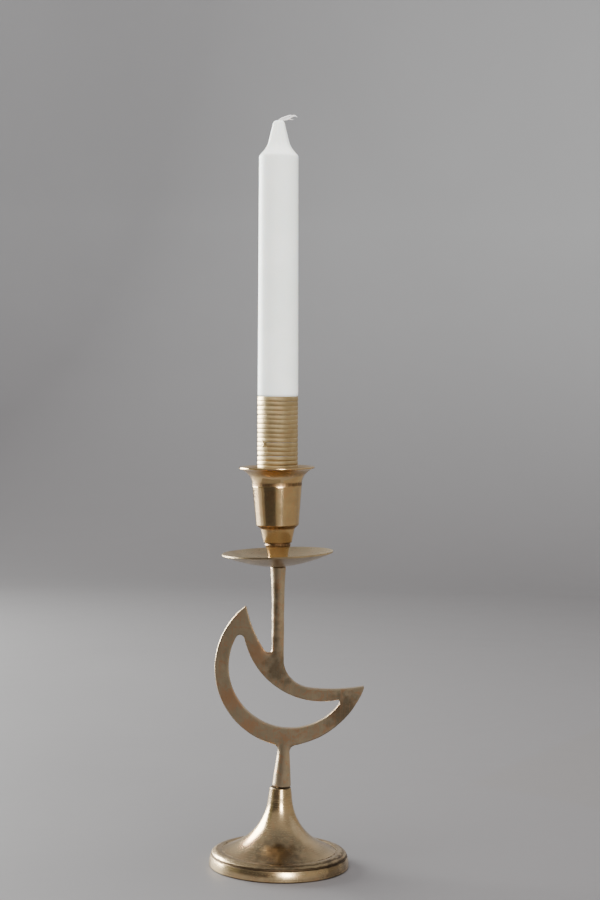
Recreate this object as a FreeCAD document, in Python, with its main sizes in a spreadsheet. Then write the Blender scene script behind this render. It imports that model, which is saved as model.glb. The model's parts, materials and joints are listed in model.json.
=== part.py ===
import FreeCAD, Part
import Sketcher
import math
import os

# A brass candlestick with an open crescent in its stem, its drip pan and cup, and the candle it
# holds. Millimetres, +Z up, the foot stands on Z = 0 and the crescent lies in the XZ plane.
#
# The candlestick is hand made and stands a little crooked: the stem, the pan, the cup and the
# candle each have a lean of their own, in degrees, positive towards -X.
#
# Heights whose name ends in _level are above the table. All others are above the part's own base.

SIZES = {
    # The whole stack
    "foot_x": -3.4,
    # Foot: a turned bell, hollow below
    "foot_radius": 38.4,
    "foot_rim_wall": 3.6,
    "foot_edge": 0.5,
    "foot_band_round": 15.0,
    "foot_band_top_radius": 37.55,
    "foot_band_height": 5.9,
    "foot_groove_radius": 36.9,
    "foot_groove_bottom": 6.2,
    "foot_groove_top": 6.7,
    "foot_bead_radius": 37.1,
    "foot_bead_side": 7.0,
    "foot_bead_inner": 32.0,
    "foot_bead_level_inner": 8.8,
    "foot_bead_round": 5.5,
    "foot_dish_radius": 31.4,
    "foot_dish_edge": 8.5,
    "foot_dish_round": 60.0,
    "foot_trumpet_radius": 22.0,
    "foot_trumpet_bottom": 12.9,
    "foot_trumpet_round": 31.3,
    "foot_trumpet_top_radius": 6.5,
    "foot_trumpet_top": 38.0,
    "foot_neck_radius": 5.83,
    "foot_height": 43.4,
    "foot_cavity_roof": 28.0,
    "foot_cavity_roof_radius": 4.6,
    "foot_cavity_round": 30.0,
    "foot_cavity_mid_radius": 19.5,
    "foot_cavity_mid": 11.2,
    "foot_cavity_rim": 6.2,
    # Threaded joints: each stud is drawn at its thread's mean size, each bore at its full size
    "foot_stud_radius": 2.6,
    "foot_stud_bore": 3.0,
    "foot_stud_length": 20.0,
    "foot_stud_level": 32.5,
    "foot_stud_lean": -1.6,
    "foot_stud_depth": 10.5,
    "cup_stud_radius": 2.2,
    "cup_stud_bore": 2.7,
    "cup_stud_length": 16.0,
    "cup_stud_drop": 7.0,
    "cup_stud_depth": 8.5,
    "cup_stud_socket": 10.5,
    "stud_chamfer": 0.6,
    # Crescent frame, one flat casting with the round stems below and above it
    "crescent_thickness": 5.0,
    "crescent_edge": 0.5,
    "outer_left_round": 43.3,
    "outer_right_round": 50.1,
    "left_tip_x": -20.7,
    "left_tip_level": 143.5,
    "right_tip_x": 45.3,
    "right_tip_level": 100.3,
    "tip_round": 0.65,
    "root_level": 62.4,
    "root_left_x": -1.6,
    "root_left_level": 66.6,
    "root_right_x": 4.5,
    "root_right_level": 66.2,
    "root_round": 4.5,
    "right_horn_round": 105.0,
    "web_right_x": 0.2,
    "web_right_level": 101.0,
    "web_round": 16.5,
    "web_top_level": 119.2,
    "web_left_x": -6.0,
    "ledge_level": 117.4,
    "ledge_round": 1.5,
    "ledge_x": -9.7,
    "ledge_out_level": 117.9,
    "left_horn_round": 68.0,
    "window_outer_round": 33.9,
    "window_inner_round": 43.6,
    "window_left_x": -22.4,
    "window_left_level": 131.0,
    "window_left_round": 2.3,
    "window_bottom_x": 4.6,
    "window_bottom_level": 76.2,
    "window_right_x": 31.3,
    "window_right_level": 90.0,
    "window_end_x": 31.7,
    "window_end_level": 92.5,
    "window_end_round": 0.8,
    # Lower stem, from the foot up into the crescent
    "lower_stem_x": 0.6,
    "lower_stem_level": 43.65,
    "lower_stem_lean": -2.2,
    "lower_stem_base_radius": 5.25,
    "lower_stem_edge": 0.45,
    "lower_stem_top_radius": 3.46,
    "lower_stem_taper": 19.3,
    "lower_stem_nose_radius": 2.3,
    "lower_stem_nose": 26.0,
    "lower_stem_nose_round": 14.0,
    # Upper stem, from inside the crescent up to the pan
    "upper_stem_x": -2.8,
    "upper_stem_level": 108.5,
    "upper_stem_lean": 0.8,
    "upper_stem_nose_radius": 2.3,
    "upper_stem_nose": 9.0,
    "upper_stem_nose_round": 18.0,
    "upper_stem_waist_radius": 3.5,
    "upper_stem_flare": 28.0,
    "upper_stem_flare_round": 420.0,
    "upper_stem_top_radius": 4.35,
    "upper_stem_height": 56.4,
    # Drip pan, a thin turned dish
    "pan_x": -3.75,
    "pan_level": 165.15,
    "pan_lean": 3.0,
    "pan_radius": 30.4,
    "pan_thickness": 0.9,
    "pan_depth": 7.7,
    "pan_seat_radius": 5.6,
    "pan_round": 95.0,
    "pan_hole": 2.9,
    # Candle cup: two stepped cones under a tapered socket with a flared lip
    "cup_x": -3.8,
    "cup_level": 166.25,
    "cup_lean": 1.75,
    "cup_base_radius": 5.1,
    "cup_waist_radius": 5.7,
    "cup_waist": 6.0,
    "cup_cone_radius": 7.1,
    "cup_cone": 10.6,
    "cup_waist_round": 14.0,
    "cup_groove_radius": 6.75,
    "cup_groove": 11.5,
    "cup_second_radius": 7.75,
    "cup_second": 12.1,
    "cup_second_top_radius": 9.45,
    "cup_second_top": 19.6,
    "cup_step_radius": 11.7,
    "cup_step": 21.2,
    "cup_step_edge": 0.5,
    "cup_body_radius": 13.55,
    "cup_body_top": 42.6,
    "cup_flare_round": 9.5,
    "cup_lip_radius": 20.75,
    "cup_lip_under": 52.5,
    "cup_lip_round": 0.75,
    "cup_height": 53.6,
    "cup_lip_inner": 19.9,
    "cup_mouth_radius": 12.5,
    "cup_mouth": 43.4,
    "cup_mouth_round": 9.0,
    "cup_floor_radius": 10.85,
    "cup_floor": 25.0,
    # Candle
    "candle_x": -4.58,
    "candle_level": 191.65,
    "candle_lean": 0.95,
    "candle_foot_radius": 10.35,
    "candle_foot_edge": 0.5,
    "candle_foot_height": 66.5,
    "candle_radius": 11.08,
    "candle_shoulder_radius": 10.72,
    "candle_shoulder": 196.4,
    "candle_shoulder_in": 9.6,
    "candle_shoulder_top": 198.1,
    "candle_shoulder_round": 1.7,
    "candle_head_radius": 5.9,
    "candle_head": 203.6,
    "candle_head_round": 8.5,
    "candle_head_top_radius": 3.7,
    "candle_head_top": 212.4,
    "candle_top_radius": 2.0,
    "candle_height": 216.0,
    "candle_top_round": 3.8,
    "wick_hole": 0.85,
    # Wick, bent over to +X above the candle
    "wick_radius": 0.75,
    "wick_bend": 1.1,
    "wick_slope": 12.0,
    "wick_length": 6.6,
    "wick_tip_bend": 1.3,
    "wick_tip": 1.2,
    # Gold wire wound round the candle's foot, as one ribbed sleeve
    "wrap_bottom": 21.5,
    "wrap_turns": 18.0,
    "wrap_pitch": 2.5,
    "wrap_inner": 10.4,
    "wrap_valley": 10.8,
    "wrap_rib_round": 2.4,
}


# ---------------------------------------------------------------- helpers

def amount(terms):
    """The value of a coordinate, which is a cell name or several added up, a minus taking one off."""
    total = 0.0
    for term in terms.split():
        total += -SIZES[term[1:]] if term.startswith("-") else SIZES[term]
    return total


def formula(terms):
    """The same coordinate as an expression on the sheet."""
    text = ""
    for term in terms.split():
        text += " - Sizes." + term[1:] if term.startswith("-") else " + Sizes." + term
    return text.strip(" +")


def make_sheet(doc):
    """The spreadsheet that drives every size."""
    sheet = doc.addObject("Spreadsheet::Sheet", "Sizes")
    for row, (name, value) in enumerate(SIZES.items(), start=1):
        sheet.set("A%d" % row, name)
        sheet.set("B%d" % row, str(value))
        sheet.setAlias("B%d" % row, name)
    doc.recompute()


def make_body(doc, name):
    """An empty body that becomes one sub-part."""
    body = doc.addObject("PartDesign::Body", name)
    body.Label = name
    return body


def plane(body, role):
    """One of the body's own origin planes."""
    return next(item for item in body.Origin.OriginFeatures if item.Role == role)


def place(body, x_terms="", level_terms="", lean=None):
    """Stand a body on the stack's axis, shifted by x, raised to its level, and leaning."""
    upright = FreeCAD.Rotation(FreeCAD.Vector(0, -1, 0), 1)
    body.Placement = FreeCAD.Placement(FreeCAD.Vector(), upright)
    body.setExpression("Placement.Base.x", formula(("foot_x " + x_terms).strip()))
    if level_terms:
        body.setExpression("Placement.Base.z", formula(level_terms))
    body.setExpression("Placement.Rotation.Angle", "Sizes." + lean if lean else "0")


def arc_between(start, end, radius):
    """The shorter arc of this radius that runs anticlockwise from start to end."""
    chord = end - start
    middle = (start + end) / 2
    left = FreeCAD.Vector(-chord.y, chord.x, 0).normalize()
    rise = math.sqrt(max(radius * radius - chord.Length * chord.Length / 4, 0.0))
    return Part.ArcOfCircle(start, middle + left * (rise - radius), end)


def add_outline(sketch, outline):
    """Draw a closed outline. Each entry is the x and y of a corner, each as cell names ("" is zero),
    then, for an arc to the next corner, the arc's radius and "left" or "right" for how it turns."""
    corners = [FreeCAD.Vector(amount(entry[0]), amount(entry[1]), 0) for entry in outline]
    edges = []
    for index, entry in enumerate(outline):
        start = corners[index]
        end = corners[(index + 1) % len(corners)]
        if len(entry) == 2:
            edges.append((sketch.addGeometry(Part.LineSegment(start, end), False), 1))
        elif entry[3] == "left":
            edges.append((sketch.addGeometry(arc_between(start, end, amount(entry[2])), False), 1))
        else:
            edges.append((sketch.addGeometry(arc_between(end, start, amount(entry[2])), False), 2))
    for index, entry in enumerate(outline):
        edge, first = edges[index]
        after, after_first = edges[(index + 1) % len(edges)]
        sketch.addConstraint(Sketcher.Constraint("Coincident", edge, 3 - first, after, after_first))
        for kind, terms in (("DistanceX", entry[0]), ("DistanceY", entry[1])):
            number = sketch.addConstraint(Sketcher.Constraint(kind, -1, 1, edge, first, amount(terms)))
            if terms:
                sketch.setExpression("Constraints[%d]" % number, formula(terms))
        if len(entry) == 4:
            number = sketch.addConstraint(Sketcher.Constraint("Radius", edge, amount(entry[2])))
            sketch.setExpression("Constraints[%d]" % number, formula(entry[2]))


def upright_sketch(body, name, outline, offset=None):
    """A sketch on the body's XZ plane. offset is (x, level, lean) cell names for its own axis."""
    sketch = body.newObject("Sketcher::SketchObject", name)
    sketch.AttachmentSupport = (plane(body, "XZ_Plane"), [""])
    sketch.MapMode = "FlatFace"
    if offset:
        x_terms, level_terms, lean = offset
        turn = FreeCAD.Rotation(FreeCAD.Vector(0, 0, 1), 1)
        sketch.AttachmentOffset = FreeCAD.Placement(FreeCAD.Vector(), turn)
        sketch.setExpression("AttachmentOffset.Base.x", formula(x_terms))
        sketch.setExpression("AttachmentOffset.Base.y", formula(level_terms))
        sketch.setExpression("AttachmentOffset.Rotation.Angle", "Sizes." + lean)
    add_outline(sketch, outline)
    return sketch


def turn_outline(body, name, outline, offset=None, cut=False):
    """Revolve an outline about its sketch's upright axis, adding to the body or cutting from it."""
    sketch = upright_sketch(body, name + "_outline", outline, offset)
    body.Document.recompute()
    before = body.Shape.Volume if cut else 0.0
    feature = body.newObject("PartDesign::Groove" if cut else "PartDesign::Revolution", name)
    feature.Profile = sketch
    feature.ReferenceAxis = (sketch, ["V_Axis"])
    feature.Angle = 360.0
    body.Document.recompute()
    if cut and body.Shape.Volume >= before - 0.01:
        raise RuntimeError(name + " cuts nothing")
    return feature


# ---------------------------------------------------------------- sub-parts

def make_foot(doc):
    """The bell foot: band, groove, bead, dish, trumpet and neck, hollow below, bored for its stud."""
    body = make_body(doc, "foot")
    turn_outline(body, "foot_turning", [
        ("foot_radius -foot_rim_wall", ""),
        ("foot_radius -foot_edge", ""),
        ("foot_radius", "foot_edge", "foot_band_round", "left"),
        ("foot_band_top_radius", "foot_band_height"),
        ("foot_groove_radius", "foot_groove_bottom"),
        ("foot_groove_radius", "foot_groove_top"),
        ("foot_bead_radius", "foot_bead_side", "foot_bead_round", "left"),
        ("foot_bead_inner", "foot_bead_level_inner"),
        ("foot_dish_radius", "foot_dish_edge", "foot_dish_round", "right"),
        ("foot_trumpet_radius", "foot_trumpet_bottom", "foot_trumpet_round", "right"),
        ("foot_trumpet_top_radius", "foot_trumpet_top"),
        ("foot_neck_radius", "foot_height -foot_edge"),
        ("foot_neck_radius -foot_edge", "foot_height"),
        ("foot_stud_bore", "foot_height"),
        ("foot_stud_bore", "foot_cavity_roof"),
        ("foot_cavity_roof_radius", "foot_cavity_roof", "foot_cavity_round", "left"),
        ("foot_cavity_mid_radius", "foot_cavity_mid"),
        ("foot_radius -foot_rim_wall", "foot_cavity_rim"),
    ])
    place(body)


def make_stud(doc, name, radius, length, x_terms, level_terms, lean):
    """A threaded stud with chamfered ends, drawn as a plain round bar."""
    body = make_body(doc, name)
    turn_outline(body, name + "_turning", [
        ("", ""),
        (radius + " -stud_chamfer", ""),
        (radius, "stud_chamfer"),
        (radius, length + " -stud_chamfer"),
        (radius + " -stud_chamfer", length),
        ("", length),
    ])
    place(body, x_terms, level_terms, lean)


def make_crescent_stem(doc):
    """One casting: the flat open crescent with the round lower and upper stems."""
    body = make_body(doc, "crescent_stem")
    frame = upright_sketch(body, "crescent_outline", [
        ("left_tip_x", "left_tip_level", "outer_left_round", "left"),
        ("root_left_x", "root_left_level"),
        ("root_left_x", "root_level"),
        ("root_right_x", "root_level"),
        ("root_right_x", "root_right_level", "outer_right_round", "left"),
        ("right_tip_x", "right_tip_level", "right_horn_round", "right"),
        ("web_right_x", "web_right_level"),
        ("web_right_x", "web_top_level"),
        ("web_left_x", "web_top_level"),
        ("web_left_x", "ledge_level"),
        ("ledge_x", "ledge_out_level", "left_horn_round", "right"),
    ])
    pad = body.newObject("PartDesign::Pad", "crescent_pad")
    pad.Profile = frame
    pad.SideType = "Symmetric"
    pad.setExpression("Length", "Sizes.crescent_thickness")
    doc.recompute()
    solid_volume = body.Shape.Volume
    window = upright_sketch(body, "window_outline", [
        ("window_left_x", "window_left_level", "window_outer_round", "left"),
        ("window_bottom_x", "window_bottom_level", "window_outer_round", "left"),
        ("window_right_x", "window_right_level"),
        ("window_end_x", "window_end_level", "window_inner_round", "right"),
    ])
    pocket = body.newObject("PartDesign::Pocket", "crescent_window")
    pocket.Profile = window
    pocket.SideType = "Symmetric"
    pocket.Type = "ThroughAll"
    doc.recompute()
    if body.Shape.Volume >= solid_volume - 1.0:
        raise RuntimeError("the crescent's window cuts nothing")
    round_corners(body, "tip_corners", "tip_round", [
        ("left_tip_x", "left_tip_level"),
        ("right_tip_x", "right_tip_level"),
    ])
    round_corners(body, "root_corners", "root_round", [
        ("root_left_x", "root_left_level"),
        ("root_right_x", "root_right_level"),
    ])
    round_corners(body, "web_corner", "web_round", [("web_right_x", "web_right_level")])
    round_corners(body, "ledge_corners", "ledge_round", [
        ("web_left_x", "ledge_level"),
        ("ledge_x", "ledge_out_level"),
    ])
    round_corners(body, "window_corner", "window_left_round", [("window_left_x", "window_left_level")])
    round_corners(body, "window_end", "window_end_round", [
        ("window_right_x", "window_right_level"),
        ("window_end_x", "window_end_level"),
    ])
    soften_faces(body)
    lower = ("lower_stem_x", "lower_stem_level", "lower_stem_lean")
    upper = ("upper_stem_x", "upper_stem_level", "upper_stem_lean")
    turn_outline(body, "lower_stem", [
        ("", ""),
        ("lower_stem_base_radius -lower_stem_edge", ""),
        ("lower_stem_base_radius", "lower_stem_edge"),
        ("lower_stem_top_radius", "lower_stem_taper", "lower_stem_nose_round", "left"),
        ("lower_stem_nose_radius", "lower_stem_nose"),
        ("", "lower_stem_nose"),
    ], lower)
    turn_outline(body, "upper_stem", [
        ("", ""),
        ("upper_stem_nose_radius", "", "upper_stem_nose_round", "left"),
        ("upper_stem_waist_radius", "upper_stem_nose"),
        ("upper_stem_waist_radius", "upper_stem_flare", "upper_stem_flare_round", "right"),
        ("upper_stem_top_radius", "upper_stem_height"),
        ("", "upper_stem_height"),
    ], upper)
    turn_outline(body, "lower_bore", [
        ("", ""),
        ("foot_stud_bore", ""),
        ("foot_stud_bore", "foot_stud_depth"),
        ("", "foot_stud_depth"),
    ], lower, cut=True)
    turn_outline(body, "upper_bore", [
        ("", "upper_stem_height -cup_stud_depth"),
        ("cup_stud_bore", "upper_stem_height -cup_stud_depth"),
        ("cup_stud_bore", "upper_stem_height"),
        ("", "upper_stem_height"),
    ], upper, cut=True)
    place(body)


def round_edges(body, name, radius, chosen):
    """Fillet the edges of the body's last feature for which chosen(edge) is true."""
    base = body.Tip
    names = ["Edge%d" % number for number, edge in enumerate(base.Shape.Edges, start=1) if chosen(edge)]
    rounding = body.newObject("PartDesign::Fillet", name)
    rounding.Base = (base, names)
    rounding.setExpression("Radius", "Sizes." + radius)
    body.Document.recompute()
    if not rounding.isValid():
        raise RuntimeError(name + " can't be rounded")


def round_corners(body, name, radius, corners):
    """Fillet the casting's edges that run front to back at these corners of its outline."""
    places = [FreeCAD.Vector(amount(x_terms), 0, amount(level_terms)) for x_terms, level_terms in corners]

    def at_a_corner(edge):
        middle = edge.CenterOfMass
        return any((middle - place).Length < 0.05 for place in places)

    round_edges(body, name, radius, at_a_corner)


def soften_faces(body):
    """Round the edges of the casting's two flat faces, except where the stems cover them."""
    half = SIZES["crescent_thickness"] / 2

    def on_a_face(edge):
        box = edge.BoundBox
        return abs(abs(box.YMin) - half) < 1e-6 and box.YLength < 1e-6 and hasattr(edge.Curve, "Radius")

    round_edges(body, "crescent_edges", "crescent_edge", on_a_face)


def make_drip_pan(doc):
    """The shallow dish that catches wax, with a centre hole for the cup's stud."""
    body = make_body(doc, "drip_pan")
    turn_outline(body, "pan_turning", [
        ("pan_hole", ""),
        ("pan_seat_radius", "", "pan_round", "left"),
        ("pan_radius", "pan_depth -pan_thickness"),
        ("pan_radius", "pan_depth", "pan_round", "right"),
        ("pan_seat_radius", "pan_thickness"),
        ("pan_hole", "pan_thickness"),
    ])
    place(body, "pan_x", "pan_level", "pan_lean")


def make_candle_cup(doc):
    """The candle socket: stepped cones below, a tapered cup above, a flared lip."""
    body = make_body(doc, "candle_cup")
    turn_outline(body, "cup_turning", [
        ("cup_stud_bore", ""),
        ("cup_base_radius", ""),
        ("cup_waist_radius", "cup_waist", "cup_waist_round", "right"),
        ("cup_cone_radius", "cup_cone"),
        ("cup_groove_radius", "cup_groove"),
        ("cup_second_radius", "cup_second"),
        ("cup_second_top_radius", "cup_second_top"),
        ("cup_step_radius -cup_step_edge", "cup_step"),
        ("cup_step_radius", "cup_step cup_step_edge"),
        ("cup_body_radius", "cup_body_top", "cup_flare_round", "right"),
        ("cup_lip_radius", "cup_lip_under", "cup_lip_round", "left"),
        ("cup_lip_inner", "cup_height", "cup_mouth_round", "left"),
        ("cup_mouth_radius", "cup_mouth"),
        ("cup_floor_radius", "cup_floor"),
        ("", "cup_floor"),
        ("", "cup_stud_socket"),
        ("cup_stud_bore", "cup_stud_socket"),
    ])
    place(body, "cup_x", "cup_level", "cup_lean")


def make_candle(doc):
    """The wax candle: a narrower foot under the wire, a slim taper, and a drawn-in head."""
    body = make_body(doc, "candle")
    turn_outline(body, "candle_turning", [
        ("wick_hole", ""),
        ("candle_foot_radius -candle_foot_edge", ""),
        ("candle_foot_radius", "candle_foot_edge"),
        ("candle_foot_radius", "candle_foot_height"),
        ("candle_radius", "candle_foot_height candle_foot_edge"),
        ("candle_shoulder_radius", "candle_shoulder", "candle_shoulder_round", "left"),
        ("candle_shoulder_in", "candle_shoulder_top", "candle_head_round", "right"),
        ("candle_head_radius", "candle_head"),
        ("candle_head_top_radius", "candle_head_top", "candle_top_round", "left"),
        ("candle_top_radius", "candle_height"),
        ("wick_hole", "candle_height"),
    ])
    place(body, "candle_x", "candle_level", "candle_lean")


def make_wick(doc):
    """The braided wick: the candle's whole length, then bent over and drooping at its end."""
    body = make_body(doc, "wick")
    section = body.newObject("Sketcher::SketchObject", "wick_section")
    section.AttachmentSupport = (plane(body, "XY_Plane"), [""])
    section.MapMode = "FlatFace"
    ring = Part.Circle(FreeCAD.Vector(), FreeCAD.Vector(0, 0, 1), SIZES["wick_radius"])
    section.addGeometry(ring, False)
    section.addConstraint(Sketcher.Constraint("Coincident", 0, 3, -1, 1))
    number = section.addConstraint(Sketcher.Constraint("Radius", 0, SIZES["wick_radius"]))
    section.setExpression("Constraints[%d]" % number, "Sizes.wick_radius")
    route = body.newObject("Sketcher::SketchObject", "wick_route")
    route.AttachmentSupport = (plane(body, "XZ_Plane"), [""])
    route.MapMode = "FlatFace"
    add_wick_route(route)
    doc.recompute()
    pipe = body.newObject("PartDesign::AdditivePipe", "wick_braid")
    pipe.Profile = section
    pipe.Spine = route
    doc.recompute()
    place(body, "candle_x", "candle_level", "candle_lean")


def add_wick_route(route):
    """Up through the candle, over towards +X, along a gentle slope, and down at the tip."""
    slope = math.radians(SIZES["wick_slope"])
    bend = SIZES["wick_bend"]
    droop = SIZES["wick_tip_bend"]
    top = FreeCAD.Vector(0, SIZES["candle_height"], 0)
    centre = top + FreeCAD.Vector(bend, 0, 0)
    normal = FreeCAD.Vector(-math.sin(slope), math.cos(slope), 0)
    along = FreeCAD.Vector(math.cos(slope), math.sin(slope), 0)
    bent = centre + normal * bend
    middle = slope / 2 + math.pi / 4
    halfway = centre + FreeCAD.Vector(-math.cos(middle), math.sin(middle), 0) * bend
    route.addGeometry(Part.LineSegment(FreeCAD.Vector(), top), False)
    route.addGeometry(Part.Arc(top, halfway, bent), False)
    reach = bent + along * SIZES["wick_length"]
    route.addGeometry(Part.LineSegment(bent, reach), False)
    tip_centre = reach - normal * droop
    tip_middle = tip_centre + (normal + along).normalize() * droop
    tip_end = tip_centre + along * droop
    route.addGeometry(Part.Arc(reach, tip_middle, tip_end), False)
    route.addGeometry(Part.LineSegment(tip_end, tip_end - normal * SIZES["wick_tip"]), False)


def make_wire_wrap(doc):
    """The wound wire as a sleeve with one rounded rib for each turn."""
    body = make_body(doc, "wire_wrap")
    turns = int(SIZES["wrap_turns"])
    height = "wrap_bottom"
    outline = [("wrap_inner", height)]
    for _ in range(turns):
        outline.append(("wrap_valley", height, "wrap_rib_round", "left"))
        height += " wrap_pitch"
    outline.append(("wrap_valley", height))
    outline.append(("wrap_inner", height))
    turn_outline(body, "wrap_turning", outline)
    place(body, "candle_x", "candle_level", "candle_lean")


# ---------------------------------------------------------------- build and write

def check_and_write(doc):
    """Refuse any failed object or bad shape, then write each sub-part to its own file."""
    doc.recompute()
    for item in doc.Objects:
        if "Invalid" in item.State or "Error" in item.State:
            raise RuntimeError("%s failed: %s" % (item.Name, item.State))
    bodies = [item for item in doc.Objects if item.TypeId == "PartDesign::Body"]
    for body in bodies:
        if body.Shape.isNull() or not body.Shape.isValid() or len(body.Shape.Solids) != 1:
            raise RuntimeError(body.Label + " has no single valid solid")
    os.makedirs("parts", exist_ok=True)
    for body in bodies:
        body.Shape.exportStep(os.path.join("parts", body.Label + ".step"))
        print("%-14s %9.1f mm3" % (body.Label, body.Shape.Volume))


def main():
    doc = FreeCAD.newDocument("candlestick")
    make_sheet(doc)
    make_foot(doc)
    make_stud(doc, "foot_stud", "foot_stud_radius", "foot_stud_length",
              "", "foot_stud_level", "foot_stud_lean")
    make_crescent_stem(doc)
    make_drip_pan(doc)
    make_stud(doc, "cup_stud", "cup_stud_radius", "cup_stud_length",
              "cup_x", "cup_level -cup_stud_drop", "cup_lean")
    make_candle_cup(doc)
    make_candle(doc)
    make_wick(doc)
    make_wire_wrap(doc)
    check_and_write(doc)


main()
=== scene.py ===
import json
import math
import random

import bpy
import numpy as np
from mathutils import Matrix, Vector, noise


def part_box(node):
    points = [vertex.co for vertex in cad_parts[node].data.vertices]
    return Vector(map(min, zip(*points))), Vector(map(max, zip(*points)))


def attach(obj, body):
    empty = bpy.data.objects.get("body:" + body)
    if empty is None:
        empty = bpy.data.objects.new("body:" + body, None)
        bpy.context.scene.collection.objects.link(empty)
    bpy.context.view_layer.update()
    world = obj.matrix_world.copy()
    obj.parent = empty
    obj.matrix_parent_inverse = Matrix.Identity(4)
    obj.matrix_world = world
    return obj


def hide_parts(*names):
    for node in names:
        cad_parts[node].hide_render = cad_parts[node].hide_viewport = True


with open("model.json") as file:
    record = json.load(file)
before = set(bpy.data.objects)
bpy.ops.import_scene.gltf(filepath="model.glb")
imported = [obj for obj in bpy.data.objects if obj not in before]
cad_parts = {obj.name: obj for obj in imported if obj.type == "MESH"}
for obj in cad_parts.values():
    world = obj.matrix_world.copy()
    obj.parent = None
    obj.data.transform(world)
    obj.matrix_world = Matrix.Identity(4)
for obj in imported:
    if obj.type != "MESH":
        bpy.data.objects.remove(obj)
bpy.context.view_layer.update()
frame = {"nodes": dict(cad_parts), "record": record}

# A brass candlestick with an open crescent in its stem, and the candle it holds.
#
# Everything is placed in metres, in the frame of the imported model: +Z up, the crescent in the XZ
# plane, the camera on the -Y side. The sizes of a piece or a pattern are in millimetres.

MM = 0.001


# ---------------------------------------------------------------- where things are

def cad_points(node):
    """A CAD node's vertices as an array, in metres."""
    mesh = frame["nodes"][node].data
    points = np.zeros(len(mesh.vertices) * 3)
    mesh.vertices.foreach_get("co", points)
    return points.reshape(-1, 3)


def turned_axis(node):
    """(the lowest point on the axis, the axis) of a turned node.

    Of the three directions that its points spread in, the axis is the one unlike the others."""
    points = cad_points(node)
    values, vectors = np.linalg.eigh(np.cov(points.T))
    alone = 2 if values[2] - values[1] > values[1] - values[0] else 0
    axis = Vector(vectors[:, alone])
    if axis.z < 0:
        axis = -axis
    low, high = (Vector(corner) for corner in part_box(node))
    middle = (low + high) / 2
    lowest = float((points @ np.array(axis)).min())
    return middle + axis * (lowest - middle.dot(axis)), axis


CANDLE_AXIS = Vector(frame["record"]["behaviour"]["joints"][0]["axis"]).normalized()
FOOT_LOW, FOOT_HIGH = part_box("foot")
FOOT_CENTRE = Vector(((FOOT_LOW.x + FOOT_HIGH.x) / 2, 0.0, 0.0))


def candle_base():
    """The middle of the candle's bottom face."""
    points = cad_points("candle")
    along = points @ np.array(CANDLE_AXIS)
    lowest = points[along < along.min() + 0.05 * MM]
    return Vector((lowest.min(0) + lowest.max(0)) / 2)


CANDLE_BASE = candle_base()
# Where the round stems run into the flat crescent
UPPER_ROOT = Vector((FOOT_CENTRE.x - 2.9 * MM, 0.0, 113.5 * MM))
LOWER_ROOT = Vector((FOOT_CENTRE.x + 1.6 * MM, 0.0, 66.5 * MM))


def candle_frame():
    """The matrix that stands a piece on the candle's base, along its axis."""
    side = Vector((CANDLE_AXIS.z, 0.0, -CANDLE_AXIS.x)).normalized()
    back = CANDLE_AXIS.cross(side)
    turn = Matrix((side, back, CANDLE_AXIS)).transposed().to_4x4()
    return Matrix.Translation(CANDLE_BASE) @ turn


# ---------------------------------------------------------------- material helpers

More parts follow.
